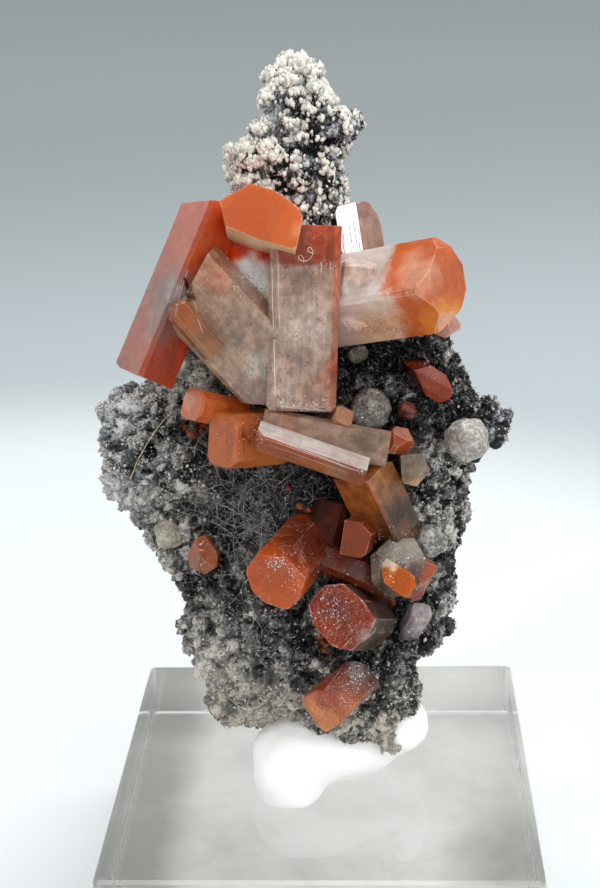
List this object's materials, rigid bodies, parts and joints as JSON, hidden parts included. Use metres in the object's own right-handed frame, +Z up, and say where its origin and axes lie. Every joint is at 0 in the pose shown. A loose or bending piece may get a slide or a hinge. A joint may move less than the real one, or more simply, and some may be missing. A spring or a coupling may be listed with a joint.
{
  "type": "topaz on matrix",
  "caption": "Orange topaz crystals and small quartz balls on a dark spired rock, stood in white putty on a clear acrylic block.",
  "frame": {"origin": "centre of the acrylic block's underside", "axes": "+Z up, -Y towards the side that the crystals face, +X to the right as seen from that side"},
  "size_m": [0.0323, 0.032, 0.0661],
  "materials": {
    "acrylic": "polished",
    "putty": "matte",
    "rock": "matte",
    "topaz": "polished",
    "quartz": "satin"
  },
  "bodies": {
    "root": {"acrylic_block": "acrylic", "putty": "putty", "matrix_rock": "rock", "upper_topaz_cluster": "topaz", "middle_topaz_cluster": "topaz", "lower_topaz_cluster": "topaz", "speckled_topaz": "topaz", "bottom_topaz": "topaz", "left_topaz": "topaz", "right_topaz": "topaz", "orange_crumb": "topaz", "grey_topaz": "topaz", "lilac_topaz": "topaz", "topaz_bead": "topaz", "quartz_ball_middle": "quartz", "quartz_ball_upper": "quartz", "quartz_ball_right": "quartz", "quartz_ball_lower": "quartz", "quartz_ball_left": "quartz"}
  },
  "joints": []
}
